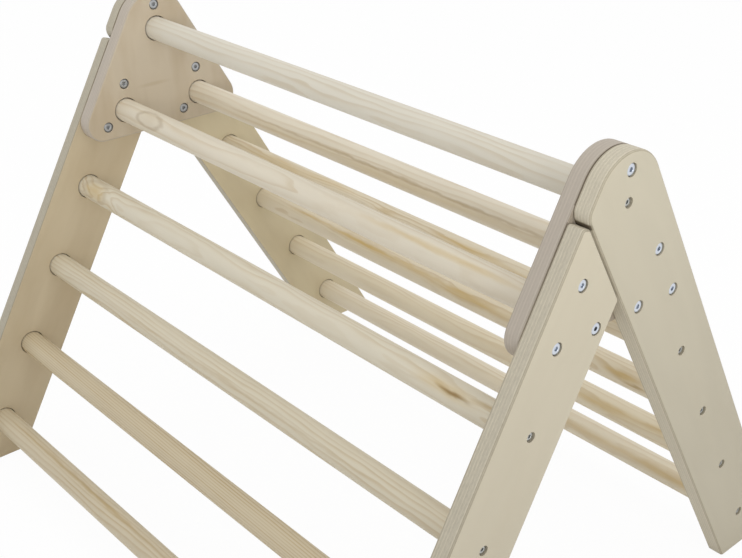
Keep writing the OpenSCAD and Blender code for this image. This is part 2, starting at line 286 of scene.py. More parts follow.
def birchPlywood(name):
    # sanded birch plywood with rotary-cut face veneers, clear matt oil: smooth pale faces with a faint
    # long figure, and edges in soft stripes
    # boardPlace holds the depth below the outer face, then metres across and along the board
    stock = {**birchPly, **plyStock[name]}
    material, tree = emptyMaterial(name)
    place = addNode(tree, "ShaderNodeAttribute", out="Vector", attribute_name="boardPlace")
    depth = addNode(tree, "ShaderNodeSeparateXYZ", {0: place}, out="X")
    perMetre = (stock["plies"] - 2) / (stock["thickness"] - 2 * stock["faceVeneer"])
    plies = addNode(tree, "ShaderNodeMath", {
        0: depth, 1: perMetre, 2: 1 - perMetre * stock["faceVeneer"]}, operation="MULTIPLY_ADD")
    inBoard = addNode(tree, "ShaderNodeClamp", {
        "Value": plies, "Min": 0.001, "Max": stock["plies"] - 0.001})
    number = addNode(tree, "ShaderNodeMath", {0: inBoard}, operation="FLOOR")
    inPly = addNode(tree, "ShaderNodeMath", {0: inBoard}, operation="FRACT")
    middlePly = (stock["plies"] - 1) / 2
    fromMiddle = addNode(tree, "ShaderNodeMath", {0: number, 1: middlePly}, operation="SUBTRACT")
    plyAway = addNode(tree, "ShaderNodeMath", {0: fromMiddle}, operation="ABSOLUTE")
    onFace = addNode(tree, "ShaderNodeMath", {0: plyAway, 1: middlePly - 0.5}, operation="GREATER_THAN")
    inside = addNode(tree, "ShaderNodeMath", {0: number, 1: middlePly}, operation="GREATER_THAN")
    # faces: soft contour lines along the board, broad streaks and short fibres
    contours = addNode(tree, "ShaderNodeMath", {
        0: woodGrain(tree, place, stock["contours"]), 1: 9}, operation="MULTIPLY")
    bands = addNode(tree, "ShaderNodeMath", {0: contours, 1: 1.0}, operation="PINGPONG")
    figured = lighterAndDarker(tree, bands, stock["figure"])
    fibres = woodGrain(tree, place, stock["fibreGrain"])
    faceShade = lighterAndDarker(tree, fibres, stock["fibres"], figured)
    streaks = addNode(tree, "ShaderNodeMapRange", {
        0: woodGrain(tree, place, stock["streakGrain"], 3), 1: 0.45, 2: 0.72, 3: 0, 4: stock["streaks"]})
    sideShare = addNode(tree, "ShaderNodeMapRange", {0: inside, 3: stock["outsideStreaks"], 4: 1.0})
    brownPatches = addNode(tree, "ShaderNodeMath", {0: streaks, 1: sideShare}, operation="MULTIPLY")
    onPiece = addNode(tree, "ShaderNodeTexCoord", out="Object")
    # marks: darker brown patches of their own, added to the streaks
    for *spot, halfWidth, halfHeight, share in stock["marks"]:
        away = awayFromSpot(tree, onPiece, spot, (halfWidth, halfWidth, halfHeight))
        mark = addNode(tree, "ShaderNodeMapRange", {0: away, 1: 0.2, 2: 1.2, 3: share, 4: 0},
                       interpolation_type="SMOOTHSTEP")
        brownPatches = addNode(tree, "ShaderNodeMath", {0: mark, 1: brownPatches}, operation="ADD")
    veneer = addNode(tree, "ShaderNodeMix", {
        0: inside, 6: toLinear(stock["outside"]), 7: toLinear(stock["inside"])}, out=2, data_type="RGBA")
    stained = addNode(tree, "ShaderNodeMix", {
        0: brownPatches, 6: veneer, 7: toLinear(stock["streak"])}, out=2, data_type="RGBA")
    face = addNode(tree, "ShaderNodeVectorMath", {0: stained, "Scale": faceShade}, operation="SCALE")
    # edges: the plies one over the other, each with its own shade, flecked where the grain ends
    crossing = addNode(tree, "ShaderNodeMath", {0: number, 1: 2}, operation="MODULO")
    plyColour = addNode(tree, "ShaderNodeMix", {
        0: crossing, 6: toLinear(stock["longPly"]), 7: toLinear(stock["crossPly"])}, out=2, data_type="RGBA")
    plyShade = addNode(tree, "ShaderNodeTexWhiteNoise", {"W": number}, noise_dimensions="1D")
    ownShade = lighterAndDarker(tree, plyShade, stock["plyToPly"])
    patches = woodGrain(tree, place, stock["patchGrain"])
    patchShade = lighterAndDarker(tree, patches, stock["edgePatches"], ownShade)
    flecks = woodGrain(tree, place, stock["fleckGrain"])
    edgeShade = lighterAndDarker(tree, flecks, stock["endGrain"] * stock["edgeContrast"], patchShade)
    # boardShade: a factor on each board's ply edges, on the left legs painted shade
    boardShade = addNode(tree, "ShaderNodeAttribute", out="Fac", attribute_name="boardShade")
    plyEdgeShade = addNode(tree, "ShaderNodeMath", {0: edgeShade, 1: boardShade}, operation="MULTIPLY")
    edge = addNode(tree, "ShaderNodeVectorMath", {0: plyColour, "Scale": plyEdgeShade}, operation="SCALE")
    nearGlue = addNode(tree, "ShaderNodeMath", {0: inPly, 1: 0.5}, operation="PINGPONG")
    line = addNode(tree, "ShaderNodeMath", {0: inBoard}, operation="ROUND")
    lineShade = addNode(tree, "ShaderNodeTexWhiteNoise", {"W": line}, noise_dimensions="1D")
    strength = addNode(tree, "ShaderNodeMath", {
        0: lineShade, 1: stock["glueStrength"] * stock["edgeContrast"]}, operation="MULTIPLY")
    thinLine = addNode(tree, "ShaderNodeMapRange", {0: nearGlue, 2: stock["glueShare"], 3: strength, 4: 0})
    underVeneer = addNode(tree, "ShaderNodeMath", {0: plyAway, 1: middlePly - 1, 2: 0.1}, operation="COMPARE")
    atLines, inMiddle = stock["underVeneer"]
    soaked = addNode(tree, "ShaderNodeMapRange", {
        0: nearGlue, 2: 0.4, 3: atLines * stock["edgeContrast"], 4: inMiddle * stock["edgeContrast"]})
    glueLine = addNode(tree, "ShaderNodeMath", {
        0: underVeneer, 1: soaked, 2: thinLine}, operation="MULTIPLY_ADD")
    gluedEdge = addNode(tree, "ShaderNodeMix", {
        0: glueLine, 6: edge, 7: toLinear(stock["glue"])}, out=2, data_type="RGBA")
    wood = addNode(tree, "ShaderNodeMix", {0: onFace, 6: gluedEdge, 7: face}, out=2, data_type="RGBA")
    # the painted shade and dust in the line between leg and gusset plate, on their edges only, fading out
    # towards the plate's foot
    atRest = addNode(tree, "ShaderNodeSeparateXYZ", {0: onPiece}).node
    normal = addNode(tree, "ShaderNodeNewGeometry", out="Normal")
    turned = addNode(tree, "ShaderNodeSeparateXYZ", {0: normal}, out="X")
    offMiddle = addNode(tree, "ShaderNodeMath", {0: atRest.outputs["X"]}, operation="ABSOLUTE")
    near = addNode(tree, "ShaderNodeMath", {
        0: offMiddle, 1: jointFace, 2: stock["grooveWidth"]}, operation="COMPARE")
    sideways = addNode(tree, "ShaderNodeMath", {0: turned}, operation="ABSOLUTE")
    onEdge = addNode(tree, "ShaderNodeMath", {0: sideways, 1: stock["faceOn"]}, operation="LESS_THAN")
    besidePlate = addNode(tree, "ShaderNodeMapRange", {
        0: atRest.outputs["Z"], 1: plateFoot, 2: legTop, 3: 0, 4: stock["grooveStrength"]})
    onJoint = addNode(tree, "ShaderNodeMath", {0: near, 1: onEdge}, operation="MULTIPLY")
    inGroove = addNode(tree, "ShaderNodeMath", {0: onJoint, 1: besidePlate}, operation="MULTIPLY")
    # and the deeper painted shade and dust where the front leg's end meets the rear leg, in the seam but not
    # on the faces
    seamY, seamZ, seamFull, seamEnd, seamStrength = stock["seamShade"]
    beside = addNode(tree, "ShaderNodeCombineXYZ", {"Y": atRest.outputs["Y"], "Z": atRest.outputs["Z"]})
    fromSeam = addNode(tree, "ShaderNodeVectorMath", {
        0: beside, 1: (0, seamY, seamZ)}, out="Value", operation="DISTANCE")
    seamShade = addNode(tree, "ShaderNodeMapRange", {
        0: fromSeam, 1: seamFull, 2: seamEnd, 3: seamStrength, 4: 0})
    squareOn = addNode(tree, "ShaderNodeMapRange", {0: sideways, 1: 0.45, 2: 0.95, 3: 1, 4: 0})
    inSeam = addNode(tree, "ShaderNodeMath", {0: seamShade, 1: squareOn}, operation="MULTIPLY")
    # painted shade and dust in the joint and the seam, both in the groove colour
    shadeAndDust = addNode(tree, "ShaderNodeMath", {0: inGroove, 1: inSeam}, operation="ADD", use_clamp=True)
    colour = addNode(tree, "ShaderNodeMix", {
        0: shadeAndDust, 6: wood, 7: toLinear(stock["groove"])}, out=2, data_type="RGBA")
    oiledSurface(tree, stock, colour, fibres, fibres)
    return material


pineDowel = {
    "lateWood": (0.74, 0.62, 0.44),  # red, green and blue left by the dark line that ends a year's ring
    "heart": "#cbae6c",  # amber of the resinous heart
    "knot": "#8a6b36",
    "fibres": 0.05,
    "cloudiness": 0.10,  # slow change of tone along a rung
    "roughness": (0.45, 0.60),
    "ior": 1.5,
    "specular": 0.5,
    # how dark the wood is through a year: a slow rise to the dark line, then a quick fall
    "year": ((0, 0.15), (0.15, 0.0), (0.5, 0.2), (0.75, 0.8), (0.87, 1.0), (1, 0.15)),
    # repeats per metre along the log and across it, and their size in mm
    "wanderGrain": (5, 30, 30),  # 200 long, 33 across
    "markGrain": (45, 160, 160),  # 22 long, 6 across
    "markUneven": (0.014, 0.005, 0.005),  # metres that a mark's outline strays, from side to side
    "fadeGrain": (9, 60, 60),  # 110 long, 17 across
    "flameGrain": (8, 200, 200),  # 125 long, 5 across
    "cloudGrain": (7, 70, 70),  # 140 long, 14 across
    "fibreGrain": (30, 900, 900),  # 33 long, 1.1 across
}

# what a saw cut open in each rung: metres from the middle, degrees round the rung from its rear side,
# half length and half width in mm, rings raised, share of knot brown, share of amber, dark outline
pineMarks = {
    "upper_front_rung": [(-0.268, 141, 25, 9.5, 0, 0.10, 0.12, 0.30), (0.16, 158, 170, 8.5, 1.5, 0, 0, 0),
                         (0.22, 128, 120, 4, 0, 0, 0.55, 0)],
    "upper_rear_rung": [(0.06, 160, 330, 2.0, 0, 0.34, 0.35, 0), (0.0, 190, 340, 7, 0, 0, 0.45, 0)],
    "front_rung_1": [(-0.322, 148, 24, 13, 2.4, 0.04, 0.55, 0.16), (-0.285, 185, 12, 8, 1.5, 0, 0.2, 0),
                     (0.293, 140, 20, 2.6, 0.8, 0.85, 0.3, 0), (0.285, 138, 45, 8, 0.7, 0.05, 0.5, 0),
                     (0.335, 122, 24, 3, 0.6, 0.28, 0.4, 0)],
    "front_rung_2": [(0.02, 150, 300, 2, 0, 0.2, 0.2, 0)],
    "front_rung_4": [(-0.13, 100, 200, 3, 0, 0.3, 0.4, 0)],
    "rear_rung_1": [(-0.034, 129, 18, 3.5, 0.8, 0.15, 0.4, 0), (0.10, 126, 60, 4.5, 0.6, 0.03, 0.6, 0),
                    (0.22, 142, 100, 4.5, 0.4, 0, 0.6, 0), (-0.14, 103, 60, 6, 0.6, 0, 0.4, 0),
                    (-0.24, 118, 90, 7, 0.8, 0.05, 0.55, 0)],
    "rear_rung_2": [(-0.244, 128, 45, 3.5, 0.5, 0, 0.7, 0), (-0.16, 133, 60, 4, 0.8, 0, 0.7, 0),
                    (-0.075, 140, 80, 5.5, 1, 0.04, 0.8, 0), (0.05, 152, 90, 6.5, 1, 0.04, 0.8, 0),
                    (0.286, 158, 32, 5, 1, 0.08, 0.75, 0), (0.300, 182, 18, 1.8, 0, 0.4, 0.4, 0)],
    "rear_rung_3": [(0.225, 153, 62, 6.5, 0.9, 0.07, 0.60, 0), (0.300, 142, 34, 4, 0.5, 0.03, 0.45, 0)],
    "rear_rung_4": [(0.150, 156, 75, 6.5, 0.6, 0.06, 0.55, 0), (0.275, 158, 70, 7, 0.8, 0.08, 0.60, 0)],
}


def pineWood(name):
    # turned and sanded pine dowel, matt oil: the rings of the log show as long soft lines and ovals
    # logPlace holds metres along the log, then across it from the pith
    material, tree = emptyMaterial(name)
    place, tint, spacing, contrast, wander = (
        addNode(tree, "ShaderNodeAttribute", out=out, attribute_name=attribute) for attribute, out in (
            ("logPlace", "Vector"), ("woodTint", "Vector"), ("ringSpacing", "Fac"),
            ("ringContrast", "Fac"), ("grainWander", "Fac")))
    # the log isn't straight: its rings wander along the length
    bent = strayed(tree, place, pineDowel["wanderGrain"], 3, wander)
    across = addNode(tree, "ShaderNodeVectorMath", {0: bent, 1: (0, 1, 1)}, operation="MULTIPLY")
    radius = addNode(tree, "ShaderNodeVectorMath", {0: across}, out="Value", operation="LENGTH")
    rings = addNode(tree, "ShaderNodeMath", {0: radius, 1: spacing}, operation="DIVIDE")
    # the marks, their outlines a little uneven
    onRung = addNode(tree, "ShaderNodeTexCoord", out="Object")
    warped = strayed(tree, onRung, pineDowel["markGrain"], 2, pineDowel["markUneven"])
    knotBrown, amber = 0.0, 0.0
    for node, marks in pineMarks.items():
        low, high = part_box(node)
        middle, surface = (low + high) / 2, (high.z - low.z) / 2
        for x, turn, halfLength, halfWidth, raised, brownShare, amberShare, outline in marks:
            rearwards, upwards = atAngle(surface, math.radians(turn))
            spot = (x, middle.y + rearwards, middle.z + upwards)
            away = awayFromSpot(tree, warped, spot, (halfLength / 1000, halfWidth / 1000, halfWidth / 1000))
            lift = addNode(tree, "ShaderNodeMapRange", {0: away, 2: 2.2, 3: raised, 4: 0},
                           interpolation_type="SMOOTHERSTEP")
            rings = addNode(tree, "ShaderNodeMath", {0: lift, 1: rings}, operation="ADD")
            core = addNode(tree, "ShaderNodeMapRange", {0: away, 1: 0.1, 2: 1.3, 3: 1, 4: 0},
                           interpolation_type="SMOOTHSTEP")
            knotBrown = addNode(tree, "ShaderNodeMath", {
                0: core, 1: brownShare, 2: knotBrown}, operation="MULTIPLY_ADD")
            amber = addNode(tree, "ShaderNodeMath", {
                0: core, 1: amberShare, 2: amber}, operation="MULTIPLY_ADD")
            if outline:
                offOutline = addNode(tree, "ShaderNodeMath", {0: away, 1: 1.0}, operation="SUBTRACT")
                eitherSide = addNode(tree, "ShaderNodeMath", {0: offOutline}, operation="ABSOLUTE")
                onOutline = addNode(tree, "ShaderNodeMapRange", {
                    0: eitherSide, 2: 0.3, 3: outline, 4: 0}, interpolation_type="SMOOTHSTEP")
                knotBrown = addNode(tree, "ShaderNodeMath", {0: knotBrown, 1: onOutline}, operation="ADD")
    phase = addNode(tree, "ShaderNodeMath", {0: rings}, operation="FRACT")
    year = addNode(tree, "ShaderNodeMath", {0: rings}, operation="FLOOR")
    yearShade = addNode(tree, "ShaderNodeTexWhiteNoise", {"W": year}, noise_dimensions="1D")
    profile = addNode(tree, "ShaderNodeFloatCurve", {"Value": phase}).node
    curve = profile.mapping.curves[0]
    first, *between, last = pineDowel["year"]
    curve.points[0].location = first
    curve.points[1].location = last
    for growth, dark in between:
        curve.points.new(growth, dark)
    profile.mapping.update()
    # some years end darker than others, and every line fades in and out along the rung
    yearDark = addNode(tree, "ShaderNodeMath", {0: yearShade, 1: 0.65, 2: 0.35}, operation="MULTIPLY_ADD")
    fading = addNode(tree, "ShaderNodeMapRange", {
        0: woodGrain(tree, place, pineDowel["fadeGrain"]), 1: 0.3, 2: 0.7, 3: 0.45, 4: 1.3})
    lineDark = addNode(tree, "ShaderNodeMath", {0: yearDark, 1: fading}, operation="MULTIPLY")
    shown = addNode(tree, "ShaderNodeMath", {0: lineDark, 1: contrast}, operation="MULTIPLY")
    late = addNode(tree, "ShaderNodeMath", {
        0: profile.outputs[0], 1: shown}, operation="MULTIPLY", use_clamp=True)
    lateWood = addNode(tree, "ShaderNodeVectorMath", {
        0: tint, 1: pineDowel["lateWood"]}, operation="MULTIPLY")
    ringed = addNode(tree, "ShaderNodeMix", {0: late, 6: tint, 7: lateWood}, out=2, data_type="RGBA")
    flames = addNode(tree, "ShaderNodeMapRange", {
        0: woodGrain(tree, bent, pineDowel["flameGrain"]), 1: 0.35, 2: 0.65, 3: 0.45, 4: 1.0})
    amberMix = addNode(tree, "ShaderNodeMath", {0: flames, 1: amber}, operation="MULTIPLY", use_clamp=True)
    tinted = addNode(tree, "ShaderNodeMix", {
        0: amberMix, 6: ringed, 7: toLinear(pineDowel["heart"])}, out=2, data_type="RGBA")
    knotted = addNode(tree, "ShaderNodeMix", {
        0: knotBrown, 6: tinted, 7: toLinear(pineDowel["knot"])}, out=2, data_type="RGBA")
    fibres = woodGrain(tree, place, pineDowel["fibreGrain"])
    clouds = woodGrain(tree, place, pineDowel["cloudGrain"])
    clouded = lighterAndDarker(tree, clouds, pineDowel["cloudiness"])
    shade = lighterAndDarker(tree, fibres, pineDowel["fibres"], clouded)
    colour = addNode(tree, "ShaderNodeVectorMath", {0: knotted, "Scale": shade}, operation="SCALE")
    height = addNode(tree, "ShaderNodeMath", {0: late, 1: 0.6, 2: fibres}, operation="MULTIPLY_ADD")
    oiledSurface(tree, pineDowel, colour, fibres, height)
    return material


# each kind of fitting's zinc: its bright colour, the colour where it greyed, and its roughness
zincStock = {
    "brightZincPlate": ("#e3e8f0", "#c3cad4", 0.30),
    "dullZincPlate": ("#b9bbbc", "#9fa1a3", 0.45),
    "screwZincPlate": ("#cfd1cf", "#b4b6b4", 0.40),
}


def zincPlate(name):
    # zinc-plated steel, barrel plated: bluish white, clouded towards grey
    # in a faint bloom of patches of about 2 mm
    # plateShade darkens the colour: painted shade, with little light left in the socket and round the rim
    bright, greyed, roughness = zincStock[name]
    material, tree = emptyMaterial(name)
    place = addNode(tree, "ShaderNodeTexCoord", out="Object")
    bloom = addNode(tree, "ShaderNodeTexNoise", {"Vector": place, "Scale": 420, "Detail": 3})
    tint = addNode(tree, "ShaderNodeMix", {
        0: bloom, 6: toLinear(bright), 7: toLinear(greyed)}, out=2, data_type="RGBA")
    plateShade = addNode(tree, "ShaderNodeAttribute", out="Fac", attribute_name="plateShade")
    shaded = addNode(tree, "ShaderNodeVectorMath", {0: tint, "Scale": plateShade}, operation="SCALE")
    rough = addNode(tree, "ShaderNodeMapRange", {0: bloom, 3: roughness - 0.08, 4: roughness + 0.1})
    surface = addNode(tree, "ShaderNodeBsdfPrincipled", {
        "Base Color": shaded, "Roughness": rough, "Metallic": 1.0})
    addNode(tree, "ShaderNodeOutputMaterial", {"Surface": surface})
    return material


plywood = {name: birchPlywood(name) for name in plyStock}
pine = pineWood("pineDowel")
zinc = {name: zincPlate(name) for name in zincStock}
print("materials made")


# Boards

boardEdges = {
    "showing": 0.003,  # roundover of the arrises that show
    "hidden": 0.0010,  # arrises between leg and gusset plate, only eased
    "corners": 0.0036,  # corners of the outline, seen from the side
    "legHoles": 0.0001,  # rims of the holes and sockets in the legs
    "plateHoles": 0.0003,  # the same in the gusset plates, whose sockets show a dark rim
    "tightSocket": 0.0002,  # how much closer than the plates the legs hold their rungs
    "steps": 5,  # in each roundover and corner
    "rimTurn": 25,  # degrees: edges of the CAD board that turn more are its outline and rims
    "cornerTurn": 15,  # degrees: corners of the outline that turn more are rounded
    "socketRadius": 0.010,  # holes with a larger radius hold rungs
    # which cut from the sheet each board is, which shifts its grain, and the shade of its ply edges: below 1
    # on the left legs, painted shade on the side away from the key lamp
    "cut": {"left_rear_leg": (1, 0.87), "right_rear_leg": (2, 1.04), "left_front_leg": (16, 0.87),
            "right_front_leg": (4, 1), "left_gusset_plate": (26, 1.07), "right_gusset_plate": (6, 1)},
    "holeSides": 48,
    "hold": 0.0002,  # narrow flat strip beside each roundover, which keeps the faces flat
    "nextCut": (1.37, 2.91),  # metres across and along the sheet from one cut to the next
}
softTurn = 28  # degrees: edges that turn less are shaded smooth


def mergedCopy(nodeName):
    work = bmesh.new()
    work.from_mesh(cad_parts[nodeName].data)
    bmesh.ops.remove_doubles(work, verts=work.verts, dist=2e-6)
    return work


def sharpLoops(nodeName):
    # every outline and hole rim of a board: its plane's distance from the middle, then its points
    work = mergedCopy(nodeName)
    work.edges.index_update()
    planes = {}
    for edge in work.edges:
        here, there = (round(abs(vert.co.x), 5) for vert in edge.verts)
        turns = edge.calc_face_angle(0) > math.radians(boardEdges["rimTurn"])
        if here == there and turns and len(edge.link_faces) == 2:
            planes.setdefault(here, {})[edge.index] = edge
    loops = []
    for plane, edges in planes.items():
        while edges:
            first, vert = edges.pop(min(edges)).verts
            points = [first.co.yz]
            while vert != first:
                points.append(vert.co.yz)
                edge = next(e for e in vert.link_edges if e.index in edges)
                del edges[edge.index]
                vert = edge.other_vert(vert)
            loops.append((plane, points))
    work.free()
    return loops


def signedArea(points):
    return sum(a.cross(b) for a, b in zip(points, points[1:] + points[:1])) / 2


def corners(points):
    # each point of a closed outline, with the directions in which the outline comes and goes on
    for before, here, after in zip(points[-1:] + points[:-1], points, points[1:] + points[:1]):
        yield here, (here - before).normalized(), (after - here).normalized()


def roundedCorners(points, radius, steps):
    # a closed outline, turning left all the way round, with its sharp corners rounded
    made = []
    for here, into, outOf in corners(points):
        turn = math.atan2(into.cross(outOf), into.dot(outOf))
        if turn < math.radians(boardEdges["cornerTurn"]):
            made.append(here)
            continue
        start = here - into * radius * math.tan(turn / 2)
        centre = start + Vector((-into.y, into.x)) * radius
        turns = [Matrix.Rotation(turn * step / steps, 2) for step in range(steps + 1)]
        made += [centre + turned @ (start - centre) for turned in turns]
    return made


def inset(points, distance):
    made = []
    for here, into, outOf in corners(points):
        inwards = Vector((-into.y - outOf.y, into.x + outOf.x))
        made.append(here + inwards * distance / (1 + into.dot(outOf)))
    return made


def holeProfiles(loops, inner, outer, ease, tight):
    # the round holes: each one's centre, and its radii from the inner face to the outer one
    holes = {}
    for plane, points in loops:
        centre = sum(points, Vector((0, 0))) / len(points)
        key = (round(centre.x, 4), round(centre.y, 4))
        holes.setdefault(key, []).append((plane, (points[0] - centre).length, centre))
    for rims in holes.values():
        rims.sort(key=lambda rim: rim[0])
        radius = rims[0][1] - tight * (rims[0][1] > boardEdges["socketRadius"])
        profile = [(inner, radius + ease), (inner + ease, radius)]
        for plane in sorted({rim[0] for rim in rims} - {inner, outer}):
            steps = [rim[1] for rim in rims if rim[0] == plane]
            steps.sort(key=lambda r: abs(r - radius))
            profile += [(plane, r) for r in steps]
            radius = steps[-1]
        profile += [(outer - ease, radius), (outer, radius + ease)]
        yield rims[0][2], profile


def shadedMesh(work, name):
    # the finished mesh: normals outward, faces smooth and only its arrises sharp
    bmesh.ops.recalc_face_normals(work, faces=work.faces)
    for face in work.faces:
        face.smooth = True
    for edge in work.edges:
        edge.smooth = edge.calc_face_angle(0) < math.radians(softTurn)
    mesh = bpy.data.meshes.new(name)
    work.to_mesh(mesh)
    work.free()
    return mesh


def storeValues(mesh, name, values):
    # one number or vector for each point
    vectors = isinstance(values[0], (tuple, list))
    attribute = mesh.attributes.new(name, "FLOAT_VECTOR" if vectors else "FLOAT", "POINT")
    flat = [number for vector in values for number in vector] if vectors else values
    attribute.data.foreach_set("vector" if vectors else "value", flat)


def roundover(radius):
    # from the flat face to the flat edge: depth below the face, distance in from the edge
    steps, hold = boardEdges["steps"], boardEdges["hold"]
    quarter = [atAngle(radius, math.pi / 2 * step / steps) for step in range(steps + 1)]
    curve = [(radius - x, radius - y) for x, y in quarter]
    return [(0, radius + hold), *curve, (radius + hold, 0)]


def roundedBoard(nodeName, pieceName, body, outside, inside, ease, lean, material):
    loops = sharpLoops(nodeName)
    side = 1 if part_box(nodeName)[0].x > 0 else -1
    planes = [plane for plane, points in loops]
    inner, outer = min(planes), max(planes)
    loops.sort(key=lambda loop: -abs(signedArea(loop[1])))
    outline = loops[0][1] if signedArea(loops[0][1]) > 0 else loops[0][1][::-1]
    outline = roundedCorners(outline, boardEdges["corners"], boardEdges["steps"])
    rows = [(inner + depth, distance) for depth, distance in roundover(inside)]
    rows += [(outer - depth, distance) for depth, distance in reversed(roundover(outside))]
    work = bmesh.new()
    faceEdges = {inner: [], outer: []}

    def layRing(points, x):
        return [work.verts.new((side * x, *point)) for point in points]

    def joinRings(rings):
        for lower, upper in zip(rings, rings[1:]):
            for a, b, c, d in zip(lower, lower[1:] + lower[:1], upper[1:] + upper[:1], upper):
                work.faces.new((a, b, c, d))
        for plane, ring in ((inner, rings[0]), (outer, rings[-1])):
            faceEdges[plane] += [work.edges.get(pair) for pair in zip(ring, ring[1:] + ring[:1])]

    joinRings([layRing(inset(outline, distance), x) for x, distance in rows])
    tight = boardEdges["tightSocket"] if lean else 0
    angles = [2 * math.pi * i / boardEdges["holeSides"] for i in range(boardEdges["holeSides"])]
    circle = [Vector(atAngle(1, angle)) for angle in angles]
    for centre, profile in holeProfiles(loops[2:], inner, outer, ease, tight):
        joinRings([layRing([centre + r * spoke for spoke in circle], x) for x, r in profile])
    for edges in faceEdges.values():
        bmesh.ops.triangle_fill(work, use_beauty=False, edges=edges, normal=(1, 0, 0))
    mesh = shadedMesh(work, pieceName)
    along = Vector((0, math.sin(lean), math.cos(lean)))
    across = Vector((0, math.cos(lean), -math.sin(lean)))
    cut, plyShade = boardEdges["cut"][nodeName]
    cutAcross, cutAlong = (cut * step for step in boardEdges["nextCut"])
    storeValues(mesh, "boardPlace", [
        (outer - abs(vert.co.x), across.dot(vert.co) + cutAcross, along.dot(vert.co) + cutAlong)
        for vert in mesh.vertices])
    storeValues(mesh, "boardShade", [plyShade] * len(mesh.vertices))
    mesh.materials.append(material)
    piece = addObject(pieceName, mesh)
    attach(piece, body)
    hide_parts(nodeName)


showing, hidden = boardEdges["showing"], boardEdges["hidden"]
for side in ("left", "right"):
    roundedBoard(f"{side}_rear_leg", f"{side}RearLeg", "rear_ladder", showing, hidden,
                 boardEdges["legHoles"], -ladderLean, plywood["birchPlywoodRearLegs"])
    roundedBoard(f"{side}_front_leg", f"{side}FrontLeg", "front_ladder", showing, hidden,
                 boardEdges["legHoles"], ladderLean, plywood["birchPlywoodFrontLegs"])
    roundedBoard(f"{side}_gusset_plate", f"{side}GussetPlate", "rear_ladder", hidden, showing,
                 boardEdges["plateHoles"], 0, plywood["birchPlywoodPlates"])
print("boards made")


# Rungs

rungShape = {
    "sides": 64,
    "endChamfer": 0.0012,
    "softTurn": 20,  # degrees: edges that turn less are shaded smooth
    "runOut": 0.016,  # how far the logs ran out of line, in metres per metre
    "logStep": 0.9,  # metres along one log from rung to rung of a piece
    "seed": 4,
    # each rung's wood: colour of its pale growth, how far off and at what angle round the rung the pith
    # of its log lay (mm, degrees), mm between rings, contrast of the rings, how far they wander in mm
    "wood": {
        "top_rung": ("#d8d2c3", 50, 200, 6.0, 0.42, 18),
        "upper_front_rung": ("#ddd4c1", 30, 155, 5.0, 0.40, 20),
        "upper_rear_rung": ("#e0d7c4", 45, 224, 6.5, 0.45, 16),
        "front_rung_1": ("#dad2be", 35, 158, 4.6, 0.60, 26),
        "front_rung_2": ("#d6cdb7", 50, 201, 4.8, 0.60, 18),
        "front_rung_3": ("#cfc2a6", 70, 213, 2.6, 1.20, 3),
        "front_rung_4": ("#d0c4aa", 40, 179, 4.8, 0.60, 16),
        "rear_rung_1": ("#dbd0b8", 30, 186, 4.6, 0.60, 22),
        "rear_rung_2": ("#dcd1b9", 35, 174, 4.4, 0.50, 18),
        "rear_rung_3": ("#ddd2b9", 40, 162, 5.0, 0.50, 18),
        "rear_rung_4": ("#ded4be", 40, 160, 5.0, 0.50, 18),
    },
}


def emptyTree(name, **inputs):
    # a geometry node tree that takes a mesh, a material and these inputs
    tree = bpy.data.node_groups.new(name, "GeometryNodeTree")
    for socket, kind in {"Geometry": "Geometry", **inputs, "Material": "Material"}.items():
        tree.interface.new_socket(socket, in_out="INPUT", socket_type=f"NodeSocket{kind}")
    tree.interface.new_socket("Geometry", in_out="OUTPUT", socket_type="NodeSocketGeometry")
    return tree, tree.nodes.new("NodeGroupInput").outputs


def endTree(tree, geometry, material):
    real = addNode(tree, "GeometryNodeRealizeInstances", {0: geometry})
    dressed = addNode(tree, "GeometryNodeSetMaterial", {"Geometry": real, "Material": material})
    addNode(tree, "NodeGroupOutput", {0: dressed})


